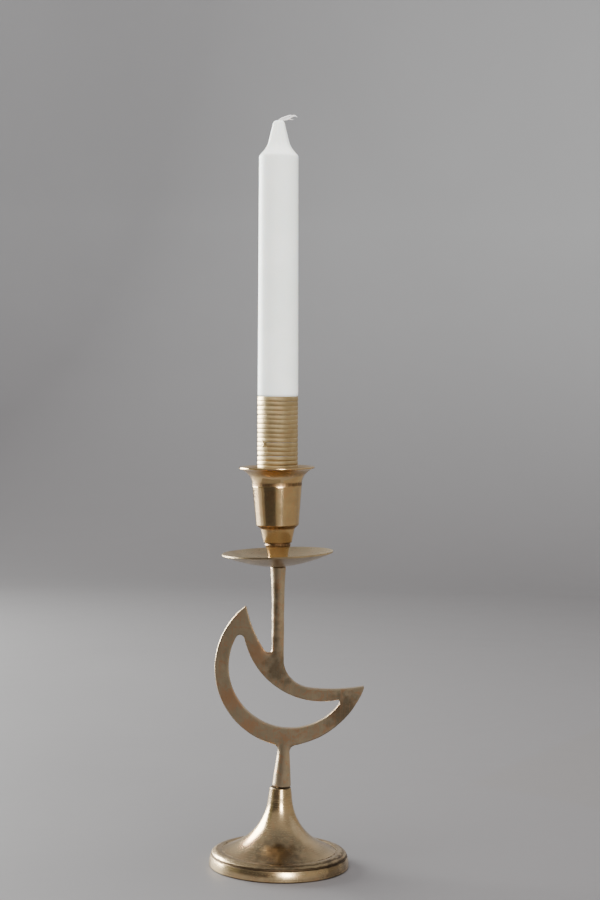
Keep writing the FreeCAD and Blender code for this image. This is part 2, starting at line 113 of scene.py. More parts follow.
class Nodes:
    """A small wrapper that adds and links shader nodes."""

    def __init__(self, name):
        self.material = bpy.data.materials.new(name)
        self.material.use_nodes = True
        self.tree = self.material.node_tree
        self.shader = self.tree.nodes["Principled BSDF"]
        self.x = -1600

    def add(self, kind, settings=None, **inputs):
        """A new node. An input is named by its socket, or by i and its number."""
        node = self.tree.nodes.new(kind)
        self.x += 40
        node.location = (self.x, -(len(self.tree.nodes) % 7) * 220)
        for key, value in (settings or {}).items():
            setattr(node, key, value)
        for key, value in inputs.items():
            self.put(node, key, value)
        return node

    def put(self, node, key, value):
        """Link a socket into an input, or set the input to a value."""
        numbered = key[0] == "i" and key[1:].isdigit()
        socket = node.inputs[int(key[1:])] if numbered else node.inputs[key]
        if isinstance(value, bpy.types.NodeSocket):
            self.tree.links.new(value, socket)
        else:
            socket.default_value = value

    def set(self, key, value):
        self.put(self.shader, key, value)

    def math(self, operation, a, b=0.0, clamp=False):
        settings = {"operation": operation, "use_clamp": clamp}
        return self.add("ShaderNodeMath", settings, i0=a, i1=b).outputs[0]

    def noise(self, vector, scale, detail=3.0, rough=0.5, distortion=0.0):
        node = self.add("ShaderNodeTexNoise", Vector=vector, Scale=scale, Detail=detail,
                        Roughness=rough, Distortion=distortion)
        return node.outputs["Fac"]

    def span(self, value, low, high, out_low=0.0, out_high=1.0):
        """A value stretched from low..high to out_low..out_high, and held there."""
        node = self.add("ShaderNodeMapRange", {"clamp": True}, Value=value)
        ends = {"From Min": low, "From Max": high, "To Min": out_low, "To Max": out_high}
        for key, number in ends.items():
            self.put(node, key, number)
        return node.outputs[0]

    def mix(self, factor, a, b):
        """Colour b mixed into colour a. Each is a socket or an (r, g, b)."""
        node = self.add("ShaderNodeMix", {"data_type": "RGBA"}, i0=factor)
        for key, value in (("i6", a), ("i7", b)):
            color = value + (1.0,) if isinstance(value, tuple) else value
            self.put(node, key, color)
        return node.outputs[2]

    def bump(self, height, strength, depth, normal=None):
        """A bumped normal. depth is in millimetres."""
        node = self.add("ShaderNodeBump", Strength=strength, Distance=depth * MM, Height=height)
        if normal is not None:
            self.put(node, "Normal", normal)
        return node.outputs["Normal"]

    def near(self, point, centre, reach):
        """1 about a place (all in millimetres), falling to 0 at reach, with a ragged edge."""
        apart = self.add("ShaderNodeVectorMath", {"operation": "DISTANCE"}, i0=point, i1=centre)
        ragged = self.span(self.noise(point, 0.3, 3.0, 0.6), 0.3, 0.7, -0.3 * reach, 0.3 * reach)
        away = self.math("ADD", apart.outputs["Value"], ragged)
        return self.span(away, reach * 0.45, reach, 1.0, 0.0)

    def place(self):
        """The point in millimetres, in the model's frame."""
        point = self.add("ShaderNodeTexCoord").outputs["Object"]
        scaled = self.add("ShaderNodeVectorMath", {"operation": "SCALE"}, i0=point, i3=1 / MM)
        return scaled.outputs[0]

    def stretched(self, point, scale, turn=0.0):
        """The point scaled along each axis, then turned about Y by so many degrees."""
        node = self.add("ShaderNodeMapping", {"vector_type": "POINT"}, Vector=point)
        node.inputs["Rotation"].default_value = (0.0, math.radians(turn), 0.0)
        node.inputs["Scale"].default_value = scale
        return node.outputs[0]

    def about_axis(self, point, base, axis):
        """(radius, height) of the point about a turned piece's own axis, in millimetres."""
        turn = axis.rotation_difference(Vector((0, 0, 1)))
        node = self.add("ShaderNodeMapping", {"vector_type": "POINT"}, Vector=point)
        node.inputs["Location"].default_value = -(turn @ (base * (1 / MM)))
        node.inputs["Rotation"].default_value = turn.to_euler()
        parts = self.add("ShaderNodeSeparateXYZ", i0=node.outputs[0])
        flat = self.add("ShaderNodeCombineXYZ", X=parts.outputs[0], Y=parts.outputs[1])
        radius = self.add("ShaderNodeVectorMath", {"operation": "LENGTH"}, i0=flat.outputs[0])
        return radius.outputs["Value"], parts.outputs[2]

    def rings(self, radius, height, per_mm, rough):
        """Noise that is the same all round a turned piece."""
        point = self.add("ShaderNodeCombineXYZ", X=self.math("MULTIPLY", radius, per_mm),
                         Y=self.math("MULTIPLY", height, per_mm))
        return self.noise(point.outputs[0], 1.0, 2.0, rough)


def brass(name, bright, dull, warm, dark, rough, spots=0.3, turned=None, filed=0.0, wave=0.02,
          blush=0.6, drawn=0.0, under_shade=0.0, groove_shade=(), warm_and_reflection_patches=(), stains_and_shade=()):
    """Brass with tarnish, warm patches, small pits, wear and its tool marks, and with painted shade
    in its grooves, on its undersides and in some dark patches.

    turned is the (base, axis) of a piece finished on a lathe, whose fine lines then run round it.
    filed is how strong the marks of hand filing are, drawn those that run up and down the piece.
    wave is the depth of the hand-made unevenness and blush the strength of the warm patches.
    under_shade is how much painted shade darkens the faces that point down.
    groove_shade is painted shade in the grooves, as (height above the turned base, half its width,
    strength).
    warm_and_reflection_patches and stains_and_shade are (place, reach) of larger warm and darkened
    patches, in millimetres. Some warm ones are a painted reflection tint, and some dark ones are
    painted shade."""
    n = Nodes(name)
    point = n.place()
    broad = n.noise(point, 0.085, 4.0, 0.55, 0.8)
    patch = n.noise(point, 0.22, 3.0, 0.6, 1.2)
    grain = n.noise(point, 1.3, 4.0, 0.65, 0.3)
    fine = n.noise(point, 5.5, 3.0, 0.6, 0.0)
    tarnish = n.span(broad, 0.42, 0.66)
    color = n.mix(tarnish, bright, dull)
    color = n.mix(n.math("MULTIPLY", n.span(patch, 0.5, 0.66), blush), color, warm)
    # Larger warm patches; the foot's paints the orange lower end of the window's reflection on its
    # flank
    for place, reach in warm_and_reflection_patches:
        color = n.mix(n.math("MULTIPLY", n.near(point, place, reach), 0.8), color, warm)
    # Larger dark patches, several of them painted shade or a painted dark reflection
    for place, reach in stains_and_shade:
        color = n.mix(n.math("MULTIPLY", n.near(point, place, reach), 0.65), color, dark)
    mottle = n.span(grain, 0.35, 0.75, 0.0, 0.35)
    color = n.mix(mottle, color, dull)
    pits = n.add("ShaderNodeTexVoronoi", {"feature": "F1"}, Vector=point, Scale=0.42, Randomness=1.0)
    near_pit = n.span(pits.outputs["Distance"], 0.05, 0.2, 1.0, 0.0)
    pitted = n.math("MULTIPLY", near_pit, n.span(n.noise(point, 0.11, 2.0, 0.5, 0.4), 0.5, 0.62))
    pitted = n.math("MULTIPLY", pitted, n.span(fine, 0.4, 0.6))
    color = n.mix(n.math("MULTIPLY", pitted, spots, True), color, dark)
    low, high = rough
    worn = n.span(grain, 0.3, 0.75, low, high)
    rough_out = n.math("ADD", worn, n.math("MULTIPLY", tarnish, (high - low) * 0.5))
    normal = n.bump(n.noise(point, 0.13, 2.0, 0.5, 0.4), 1.0, wave)
    normal = n.bump(fine, 0.35, 0.006, normal)
    if turned:
        radius, height = n.about_axis(point, *turned)
        lines = n.rings(radius, height, 4.6, 0.7)
        ring = n.rings(radius, height, 0.9, 0.6)
        normal = n.bump(lines, 0.5, 0.008, normal)
        normal = n.bump(ring, 0.6, 0.02, normal)
        rough_out = n.math("ADD", rough_out, n.span(lines, 0.3, 0.7, -0.05, 0.07))
        color = n.mix(n.span(ring, 0.45, 0.75, 0.0, 0.3), color, dull)
        uneven = n.span(n.noise(point, 0.25, 3.0, 0.6), 0.3, 0.7, -0.25, 0.25)
        # Painted shade: a dark, rougher ring round each groove and corner of a turned piece
        for level, half, strength in groove_shade:
            away = n.math("ABSOLUTE", n.math("SUBTRACT", n.math("ADD", height, uneven), level))
            groove_dark = n.math("MULTIPLY", n.span(away, half * 0.6, half * 1.3, 1.0, 0.0), strength)
            color = n.mix(groove_dark, color, dark)
            rough_out = n.math("ADD", rough_out, n.math("MULTIPLY", groove_dark, 0.3))
    if filed:
        marks = n.noise(n.stretched(point, (0.25, 2.4, 5.2), 34), 1.0, 3.0, 0.6, 0.6)
        cross = n.noise(n.stretched(point, (0.2, 2.2, 3.6), -52), 1.0, 3.0, 0.6, 0.8)
        normal = n.bump(marks, filed, 0.02, normal)
        normal = n.bump(cross, filed * 0.7, 0.02, normal)
        rough_out = n.math("ADD", rough_out, n.span(marks, 0.35, 0.7, -0.04, 0.08))
        color = n.mix(n.span(cross, 0.5, 0.8, 0.0, 0.3), color, dull)
    if drawn:
        lines = n.noise(n.stretched(point, (1.3, 1.3, 0.035)), 1.0, 3.0, 0.6, 0.3)
        normal = n.bump(lines, drawn, 0.09, normal)
        color = n.mix(n.span(lines, 0.5, 0.7, 0.0, 0.45), color, warm)
    # Painted shade: faces that point down are darkened towards the dark colour
    if under_shade:
        facing = n.add("ShaderNodeTexCoord").outputs["Normal"]
        facing = n.add("ShaderNodeSeparateXYZ", i0=facing).outputs[2]
        color = n.mix(n.span(facing, -0.5, 0.0, under_shade, 0.0), color, dark)
    n.set("Base Color", color)
    n.set("Metallic", 1.0)
    n.set("Roughness", rough_out)
    n.set("Normal", normal)
    return n.material


def wax():
    """White candle wax: light goes a little way in, and the skin is faintly uneven."""
    n = Nodes("white_wax")
    point = n.place()
    cloud = n.noise(point, 0.05, 3.0, 0.5, 0.5)
    fine = n.noise(point, 0.9, 3.0, 0.6)
    color = n.mix(n.span(cloud, 0.35, 0.7), (0.89, 0.905, 0.865), (0.83, 0.85, 0.81))
    color = n.mix(n.span(fine, 0.5, 0.8, 0.0, 0.25), color, (0.80, 0.80, 0.77))
    streak = n.noise(n.stretched(point, (0.5, 0.5, 0.02)), 1.0, 2.0, 0.5, 0.2)
    normal = n.bump(streak, 0.5, 0.05)
    normal = n.bump(fine, 0.25, 0.01, normal)
    n.set("Base Color", color)
    n.set("Roughness", n.span(fine, 0.3, 0.7, 0.34, 0.46))
    n.set("Subsurface Weight", 0.55)
    n.set("Subsurface Radius", (1.0, 0.85, 0.7))
    n.set("Subsurface Scale", 0.004)
    n.set("IOR", 1.44)
    n.set("Normal", normal)
    return n.material


def cotton():
    """Waxed cotton strands."""
    n = Nodes("waxed_cotton")
    point = n.place()
    fibre = n.noise(point, 6.0, 4.0, 0.7, 0.6)
    color = n.mix(n.span(fibre, 0.3, 0.7), (0.86, 0.83, 0.82), (0.72, 0.69, 0.68))
    n.set("Base Color", color)
    n.set("Roughness", n.span(fibre, 0.3, 0.7, 0.45, 0.7))
    n.set("Subsurface Weight", 0.3)
    n.set("Subsurface Radius", (1.0, 0.9, 0.8))
    n.set("Subsurface Scale", 0.001)
    n.set("Normal", n.bump(fibre, 0.6, 0.05))
    return n.material


def backdrop(name, floor, wall):
    """Plain pale stage paint with the slightest mottling, a little lighter up the wall."""
    n = Nodes(name)
    point = n.add("ShaderNodeTexCoord").outputs["Object"]
    cloud = n.noise(point, 3.0, 4.0, 0.55, 0.4)
    height = n.add("ShaderNodeSeparateXYZ", i0=point).outputs[2]
    tone = n.mix(n.span(height, 0.0, 0.5), floor, wall)
    shade = n.mix(n.span(cloud, 0.3, 0.7, 0.0, 0.06), tone, (0.05, 0.05, 0.05))
    n.set("Base Color", shade)
    n.set("Roughness", n.span(cloud, 0.3, 0.7, 0.55, 0.7))
    n.set("Normal", n.bump(n.noise(point, 60.0, 3.0, 0.6), 0.1, 1.0))
    return n.material


# ---------------------------------------------------------------- shape helpers

def smooth_step(t):
    """0 to 1 with soft ends."""
    t = min(max(t, 0.0), 1.0)
    return t * t * (3 - 2 * t)


def eased(values, at):
    """The entry of a list at a fractional place, eased from each entry to the next."""
    i = int(at)
    t = smooth_step(at - i)
    return values[i] * (1 - t) + values[i + 1] * t


def add_object(name, vertices, faces, material):
    """A smooth mesh object in the model's frame."""
    mesh = bpy.data.meshes.new(name)
    mesh.from_pydata([tuple(v) for v in vertices], [], faces)
    mesh.validate()
    mesh.polygons.foreach_set("use_smooth", [True] * len(mesh.polygons))
    mesh.materials.append(material)
    obj = bpy.data.objects.new(name, mesh)
    bpy.context.scene.collection.objects.link(obj)
    return obj


def ring_faces(rows, around, start=0):
    """The faces between rows of points. Each row is a ring of so many, and start is the first."""
    faces = []
    for row in range(rows - 1):
        for k in range(around):
            a = start + row * around + k
            b = start + row * around + (k + 1) % around
            faces.append((a, b, b + around, a + around))
    return faces


def closed_faces(rows, around):
    """The faces of a skin over rings of points, closed at both ends."""
    last = (rows - 1) * around
    ends = [tuple(reversed(range(around))), tuple(range(last, last + around))]
    return ring_faces(rows, around) + ends


def tube(path, section):
    """(vertices, faces) of a closed tube along path. section(index) gives the ring's points about
    the path as (side, up) pairs, each path entry being (point, side vector, up vector)."""
    vertices = []
    for index, (point, side, up) in enumerate(path):
        vertices.extend(point + side * a + up * b for a, b in section(index))
    return vertices, closed_faces(len(path), len(vertices) // len(path))


def join_parts(parts):
    """One list of vertices and faces out of several."""
    vertices, faces = [], []
    for some, others in parts:
        start = len(vertices)
        vertices.extend(some)
        faces.extend(tuple(i + start for i in face) for face in others)
    return vertices, faces


def flat_ring(width, height, sides, power):
    """A rounded flat section, width along the side vector and height along the up vector. A power
    of 2 makes an oval, and a higher one makes it more like a rectangle."""
    ring = []
    for k in range(sides):
        angle = 2 * math.pi * k / sides
        c, s = math.cos(angle), math.sin(angle)
        ring.append((math.copysign(abs(c) ** (2 / power), c) * width / 2,
                     math.copysign(abs(s) ** (2 / power), s) * height / 2))
    return ring


def smooth_route(points, count):
    """Points and unit tangents, evenly spaced along a smooth curve through (x, z) points."""
    dense = []
    for i in range(len(points) - 1):
        p0 = Vector(points[max(i - 1, 0)])
        p1, p2 = Vector(points[i]), Vector(points[i + 1])
        p3 = Vector(points[min(i + 2, len(points) - 1)])
        for k in range(12):
            t = k / 12
            dense.append(0.5 * ((2 * p1) + (p2 - p0) * t + (2 * p0 - 5 * p1 + 4 * p2 - p3) * t * t
                                + (3 * p1 - p0 - 3 * p2 + p3) * t ** 3))
    dense.append(Vector(points[-1]))
    lengths = [0.0]
    for a, b in zip(dense, dense[1:]):
        lengths.append(lengths[-1] + (b - a).length)
    route = []
    for k in range(count):
        want = lengths[-1] * k / (count - 1)
        i = min(max(next((j for j, l in enumerate(lengths) if l >= want), 1), 1), len(dense) - 1)
        gap = lengths[i] - lengths[i - 1]
        t = (want - lengths[i - 1]) / gap if gap > 0 else 0.0
        tangent = (dense[i] - dense[i - 1]).normalized()
        point = dense[i - 1].lerp(dense[i], t)
        route.append(((point.x, point.y), (tangent.x, tangent.y)))
    return route


STRAND_SIDES = 7


def strand(line, radius):
    """A thin round strand along a line of points, tapering to a wisp at its end."""
    path = []
    for i, point in enumerate(line):
        ahead = (line[min(i + 1, len(line) - 1)] - line[max(i - 1, 0)]).normalized()
        side = ahead.cross(Vector((0, 1, 0.02)))
        if side.length < 0.05:
            side = ahead.cross(Vector((0, 0, 1)))
        side.normalize()
        path.append((point, side, ahead.cross(side)))
    last = len(path) - 1
    turns = [2 * math.pi * k / STRAND_SIDES for k in range(STRAND_SIDES)]

    def section(index):
        r = radius * (1.0 - 0.65 * smooth_step((index - last + 6) / 6))
        return [(r * math.cos(turn), r * math.sin(turn)) for turn in turns]

    return tube(path, section)


# ---------------------------------------------------------------- candle and wick

# (height above the candle's foot, radius) up the candle: its narrower foot under the wire, the
# step out to its body, the slim taper, the shoulder, the drawn-in head and the wick's hole
CANDLE_PROFILE = [
    (0.0, 0.9), (0.0, 9.85), (0.15, 10.15), (0.5, 10.33), (1.2, 10.35), (20.0, 10.35),
    (45.0, 10.35),
    (66.3, 10.35), (66.6, 10.6), (66.9, 10.95), (67.3, 11.05), (68.5, 11.08), (90.0, 11.02),
    (120.0, 10.94), (150.0, 10.85), (180.0, 10.76), (194.5, 10.72), (195.8, 10.71), (196.4, 10.68),
    (196.9, 10.55), (197.3, 10.33), (197.7, 10.0), (198.1, 9.6), (198.7, 9.05), (199.5, 8.4),
    (200.5, 7.55), (201.7, 6.78), (203.0, 6.13), (204.4, 5.65), (206.0, 5.26), (208.0, 4.78),
    (210.0, 4.28), (211.6, 3.88), (212.6, 3.66), (213.5, 3.45), (214.4, 3.22), (215.1, 2.98),
    (215.6, 2.62), (215.88, 2.15), (215.97, 1.5), (215.9, 0.95), (215.6, 0.8),
]
CANDLE_SIDES = 96
# The body above the wire is uneven by this much, and the head is fluted between these heights
BODY_BOTTOM, BODY_UNEVENNESS = 68, 0.05
HEAD_BOTTOM, HEAD_TOP = 197.0, 216.2
FLUTES, FLUTE_DEPTH = 10, 0.30


def make_candle(material):
    """The candle: a slim taper with a shoulder, and a head drawn in with faint flutes."""
    place = candle_frame()
    vertices = []
    for height, radius in CANDLE_PROFILE:
        above = min(max((height - HEAD_BOTTOM) / 5.0, 0.0), 1.0)
        below = min(max((HEAD_TOP - height) / 2.5, 0.0), 1.0)
        uneven = BODY_UNEVENNESS if height > BODY_BOTTOM else 0.0
        for k in range(CANDLE_SIDES):
            angle = 2 * math.pi * k / CANDLE_SIDES
            c, s = math.cos(angle), math.sin(angle)
            flute = 0.5 - 0.5 * math.cos(FLUTES * angle + 0.6)
            drift = noise.noise(Vector((c * 1.3, s * 1.3, height * 0.03)))
            r = radius - above * below * FLUTE_DEPTH * flute - uneven * (0.5 + 0.5 * drift)
            vertices.append(place @ (Vector((r * c, r * s, height)) * MM))
    faces = closed_faces(len(CANDLE_PROFILE), CANDLE_SIDES)
    obj = add_object("candle_wax_body", vertices, faces, material)
    sub = obj.modifiers.new("smooth", "SUBSURF")
    sub.levels = sub.render_levels = 1
    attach(obj, "candle")
    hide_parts("candle")
    return obj


# The wick's middle line as (x, height) above the middle of the candle's foot
WICK_LINE = [
    (0.0, 196.0), (0.15, 214.5), (0.3, 215.5), (0.8, 216.2), (1.7, 216.6), (2.9, 216.95),
    (4.2, 217.3), (5.5, 217.6), (6.8, 217.7), (8.1, 217.6), (9.1, 217.3), (9.8, 216.9),
]
WICK_STEPS = 90
WICK_STRANDS, WICK_STRAND_RADIUS = 14, 0.29
WICK_TWISTS = 6.0


def make_wick(material):
    """The braided wick: it leaves the candle, bends over towards +X and frays at its end."""
    rng = random.Random(7)
    place = candle_frame()
    route = smooth_route(WICK_LINE, WICK_STEPS)
    parts = []
    for s in range(WICK_STRANDS):
        phase = 2 * math.pi * s / WICK_STRANDS
        side_spray = rng.uniform(-1, 1)
        deep_spray = rng.uniform(-1, 1)
        reach = rng.uniform(0.82, 1.0)
        line = []
        for index in range(int(WICK_STEPS * reach)):
            (x, z), (ahead_x, ahead_z) = route[index]
            t = index / (WICK_STEPS - 1)
            opened = smooth_step((t - 0.55) / 0.4)
            frayed = smooth_step((t - 0.8) / 0.2)
            twist = 2 * math.pi * WICK_TWISTS * t
            side = math.sin(twist / 2 + phase) * (0.30 + 0.85 * opened)
            side += side_spray * 0.35 * frayed
            deep = math.sin(twist + 2 * phase) * (0.28 + 0.25 * opened)
            deep += deep_spray * 0.7 * frayed
            point = Vector((x - ahead_z * side, deep, z + ahead_x * side))
            line.append(place @ (point * MM))
        parts.append(strand(line, WICK_STRAND_RADIUS * MM))
    obj = add_object("wick_braid", *join_parts(parts), material)
    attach(obj, "candle")
    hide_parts("wick")
    return obj


# ---------------------------------------------------------------- gold wire

# The winding's top, above the candle's foot
WIRE_TOP = 66.5
WIRE_TURNS, WIRE_PITCH = 18, 2.5
WIRE_STEPS = 72
WIRE_RADIUS, WIRE_THICKNESS = 10.76, 0.66
WIRE_SIDES, WIRE_POWER = 14, 2.4
# How near the wire's middle line may come to the winding's top and bottom
WIRE_MARGIN = 1.2
KNOT_ANGLE, KNOT_LEVEL = math.radians(-90 - 42), 40.5
KNOT_RADIUS, KNOT_STRAND_RADIUS = 10.9, 0.36
# The knot's strands. Each starts and ends at a (sideways, up), and stands out by a third number
KNOT_STRANDS = (
    ((-1.9, -1.6), (1.7, 1.5), 0.30),
    ((-1.6, 1.7), (1.9, -1.3), 0.42),
    ((-2.2, 0.1), (1.2, 0.5), 0.38),
)


def winding(place):
    """(vertices, faces) of the wire's turns. Each runs nearly level round the front, and steps up
    to the next at the back."""
    rng = random.Random(21)
    entries = WIRE_TURNS + 2
    offset = [rng.uniform(-0.12, 0.12) for _ in range(entries)]
    tilt = [(rng.uniform(-0.12, 0.12), rng.uniform(0, 2 * math.pi)) for _ in range(entries)]
    swell = [rng.uniform(-0.05, 0.02) for _ in range(entries)]
    twist = [math.radians(rng.uniform(-5, 5)) for _ in range(entries)]
    width = [rng.uniform(2.46, 2.62) for _ in range(entries)]
    upright = Vector((0, 0, 1))
    path, widths = [], []
    for index in range(WIRE_TURNS * WIRE_STEPS - 1):
        at = index / WIRE_STEPS
        turn = int(at)
        angle = 2 * math.pi * (at + 0.5)
        leans = [most * math.sin(angle + phase) for most, phase in tilt]
        step = turn + smooth_step((at - turn) * 2 - 1)
        level = WIRE_TOP - WIRE_PITCH / 2 - WIRE_PITCH * (WIRE_TURNS - 1 - step)
        z = level + eased(offset, at) + eased(leans, at)
        lowest = WIRE_TOP - WIRE_PITCH * WIRE_TURNS + WIRE_MARGIN
        z = min(max(z, lowest), WIRE_TOP - WIRE_MARGIN)
        out = Vector((math.cos(angle), math.sin(angle), 0.0))
        roll = eased(twist, at)
        up = upright * math.cos(roll) + out * math.sin(roll)
        side = out * math.cos(roll) - upright * math.sin(roll)
        point = (out * (WIRE_RADIUS + eased(swell, at)) + Vector((0, 0, z))) * MM
        path.append((place @ point, place.to_3x3() @ side, place.to_3x3() @ up))
        widths.append(eased(width, at))

    def section(index):
        return flat_ring(WIRE_THICKNESS * MM, widths[index] * MM, WIRE_SIDES, WIRE_POWER)

    return tube(path, section)


def knot_strand(place, start, end, lift):
    """(vertices, faces) of one strand of the knot, which lies on the winding at the front left."""
    out = Vector((math.cos(KNOT_ANGLE), math.sin(KNOT_ANGLE), 0.0))
    across = Vector((-out.y, out.x, 0.0))
    line = []
    for k in range(13):
        t = k / 12
        side = start[0] + (end[0] - start[0]) * t + 0.35 * math.sin(t * 2 * math.pi)
        rise = start[1] + (end[1] - start[1]) * t
        turn = side / KNOT_RADIUS
        r = KNOT_RADIUS + lift * math.sin(math.pi * t) ** 0.5
        flat = out * (r * math.cos(turn)) + across * (r * math.sin(turn))
        line.append(place @ ((flat + Vector((0, 0, KNOT_LEVEL + rise))) * MM))
    return strand(line, KNOT_STRAND_RADIUS * MM)


def make_wire(material):
    """Flattened gold wire wound round the candle's foot, a little unevenly, with a small knot."""
    place = candle_frame()
    parts = [winding(place)]
    parts += [knot_strand(place, start, end, lift) for start, end, lift in KNOT_STRANDS]
    obj = add_object("gold_wire_winding", *join_parts(parts), material)
    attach(obj, "candle")
    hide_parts("wire_wrap")
    return obj


# ---------------------------------------------------------------- crescent casting

SKIN_VOXEL = 0.42


def voxel_skin(source):
    """A new mesh, evenly divided, over an object's shape."""
    rough = bpy.data.objects.new("crescent_rough", source.data.copy())
    bpy.context.scene.collection.objects.link(rough)
    remesh = rough.modifiers.new("skin", "REMESH")
    remesh.mode = "VOXEL"
    remesh.voxel_size = SKIN_VOXEL * MM
    bpy.context.view_layer.update()
    ready = rough.evaluated_get(bpy.context.evaluated_depsgraph_get())
    mesh = bpy.data.meshes.new_from_object(ready)
    bpy.data.objects.remove(rough)
    return mesh


def relax(points, edges, weight, rounds, axes=(0, 1, 2)):
    """Pull the points, along these axes, towards the middle of their neighbours."""
    total = len(points)
    count = np.bincount(edges.ravel(), minlength=total)
    moving = weight > 0.0
    near = moving[edges[:, 0]] | moving[edges[:, 1]]
    first, second = edges[near, 0], edges[near, 1]
    for _ in range(rounds):
        for axis in axes:
            line = points[:, axis]
            around = np.bincount(first, line[second], total)
            around = around + np.bincount(second, line[first], total)
            line[moving] += (around[moving] / count[moving] - line[moving]) * weight[moving]


def blend_stems(points, edges):
    """Wear every edge a little, and let the round stems flow into the flat crescent."""
    relax(points, edges, np.full(len(points), 0.5), 3)
    for root, reach, rounds in ((UPPER_ROOT, 11.0 * MM, 150), (LOWER_ROOT, 8.0 * MM, 60)):
        away = np.linalg.norm((points - np.array(root)) * (1.0, 1.0, 0.8), axis=1)
        relax(points, edges, 0.55 * np.clip(1.5 - 1.5 * away / reach, 0.0, 1.0), 25)
        relax(points, edges, 0.55 * np.clip(1.8 - 1.8 * away / reach, 0.0, 1.0), rounds, (1,))


def filed_depth(points):
    """How much the file has taken off at each point, in metres."""
    depth = np.zeros(len(points))
    for index, (x, y, z) in enumerate(points / MM):
        broad = noise.noise(Vector((x * 0.13, y * 0.13, z * 0.13)))
        close = noise.noise(Vector((x * 0.45 + 9, y * 0.3, z * 0.45)))
        depth[index] = 0.10 + 0.12 * broad + 0.04 * close
    return depth * MM


def make_crescent(material):
    """The crescent casting, hand finished: its stems flow into the flat, its faces are a little
    uneven from the file, and every edge is worn."""
    mesh = voxel_skin(frame["nodes"]["crescent_stem"])
    points = np.zeros(len(mesh.vertices) * 3)
    mesh.vertices.foreach_get("co", points)
    points = points.reshape(-1, 3)
    edges = np.zeros(len(mesh.edges) * 2, dtype=int)
    mesh.edges.foreach_get("vertices", edges)
    blend_stems(points, edges.reshape(-1, 2))
    mesh.vertices.foreach_set("co", points.ravel())
    mesh.update()
    normals = np.zeros(len(points) * 3)
    mesh.vertex_normals.foreach_get("vector", normals)
    points = points - normals.reshape(-1, 3) * filed_depth(points)[:, None]
    mesh.vertices.foreach_set("co", points.ravel())
    mesh.update()
    mesh.polygons.foreach_set("use_smooth", [True] * len(mesh.polygons))
    mesh.materials.clear()
    mesh.materials.append(material)
    obj = bpy.data.objects.new("crescent_casting", mesh)
    bpy.context.scene.collection.objects.link(obj)
    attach(obj, "candlestick")
    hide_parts("crescent_stem")
    return obj


# ---------------------------------------------------------------- build

# The foot's dark rings are painted shade in the groove below the bead, in the dish's inner corner
# and near its top. Its warm patch paints the orange lower end of the window's reflection on the
# flank, and its first dark patch paints the dark reflection over the front of the dish.
foot_brass = brass(
    "foot_brass_turned", (0.80, 0.59, 0.33), (0.56, 0.42, 0.24), (0.80, 0.47, 0.24),
    (0.07, 0.045, 0.03), (0.15, 0.24), spots=0.9, wave=0.03, blush=0.45,
    turned=(FOOT_CENTRE, Vector((0, 0, 1))),
    groove_shade=((6.45, 0.8, 0.85), (8.3, 0.3, 0.6), (43.4, 0.4, 0.8)),
    warm_and_reflection_patches=(((-20.0, -9.0, 15.5), 9.0),),
    stains_and_shade=(((-3.4, -26.0, 11.0), 15.0), ((26.2, -24.1, 4.0), 9.0), ((32.0, -14.0, 6.0), 6.0)))
# The pan's underside is darkened with painted shade
pan_brass = brass(
    "pan_brass_turned", (0.80, 0.63, 0.39), (0.60, 0.47, 0.29), (0.74, 0.50, 0.28),
    (0.12, 0.08, 0.05), (0.24, 0.36), spots=0.4, wave=0.02, under_shade=0.65,
    turned=turned_axis("drip_pan"))
# The cup's dark rings are painted shade at its neck and steps, where they dull bright reflections
cup_brass = brass(
    "cup_brass_polished", (0.88, 0.64, 0.33), (0.72, 0.51, 0.27), (0.84, 0.51, 0.25),
    (0.12, 0.065, 0.03), (0.08, 0.15), spots=0.3, wave=0.015, drawn=0.25,
    turned=turned_axis("candle_cup"),
    groove_shade=((10.9, 1.4, 0.92), (20.6, 1.1, 0.92), (44.0, 1.0, 0.85), (50.5, 1.9, 0.6)))
# Four patches of painted shade, one above another, dull the window's reflection on the upper stem's
# left side
stem_left_shade = tuple(((-11.0, -2.0, level), 6.0) for level in (124.0, 133.0, 142.0, 151.0))
# The stem's faces that point down and its right horn are darkened with painted shade
stem_brass = brass(
    "stem_brass_filed", (0.78, 0.63, 0.43), (0.58, 0.47, 0.32), (0.78, 0.45, 0.25),
    (0.12, 0.09, 0.06), (0.28, 0.40), spots=0.35, wave=0.06, blush=0.8, filed=0.5, drawn=0.45,
    under_shade=0.6,
    warm_and_reflection_patches=(((-17.2, -2.5, 118.0), 8.0), ((-33.1, -2.5, 91.3), 8.0), ((-22.0, -2.5, 76.0), 6.0)),
    stains_and_shade=(((-4.4, -2.5, 109.5), 10.0), ((31.0, -2.5, 86.0), 12.0)) + stem_left_shade)
stud_brass = brass(
    "stud_brass_plain", (0.74, 0.55, 0.29), (0.54, 0.40, 0.21), (0.70, 0.45, 0.23),
    (0.10, 0.06, 0.03), (0.28, 0.38), spots=0.2, wave=0.01)
wire_gold = brass(
    "gold_wire_drawn", (0.84, 0.65, 0.36), (0.66, 0.50, 0.27), (0.80, 0.55, 0.29),
    (0.18, 0.12, 0.05), (0.34, 0.46), spots=0.2, wave=0.02)

# The turned pieces and the studs keep their CAD shapes
finishes = {"foot": foot_brass, "foot_stud": stud_brass, "drip_pan": pan_brass,
            "cup_stud": stud_brass, "candle_cup": cup_brass}
for node, finish in finishes.items():
    for piece_slot in frame["nodes"][node].material_slots:
        piece_slot.material = finish

make_crescent(stem_brass)
candle_piece = make_candle(wax())
wick_piece = make_wick(cotton())
wire_piece = make_wire(wire_gold)


# ---------------------------------------------------------------- stage, light and camera

FLOOR_RADIUS, WALL_BEND, WALL_TOP = 1.35, 0.55, 2.3
# The stage lies just under the object's foot, and the cards on the floor just above it
STAGE_LEVEL, CARD_LEVEL = -0.0001, 0.0006
STAGE_SIDES = 96


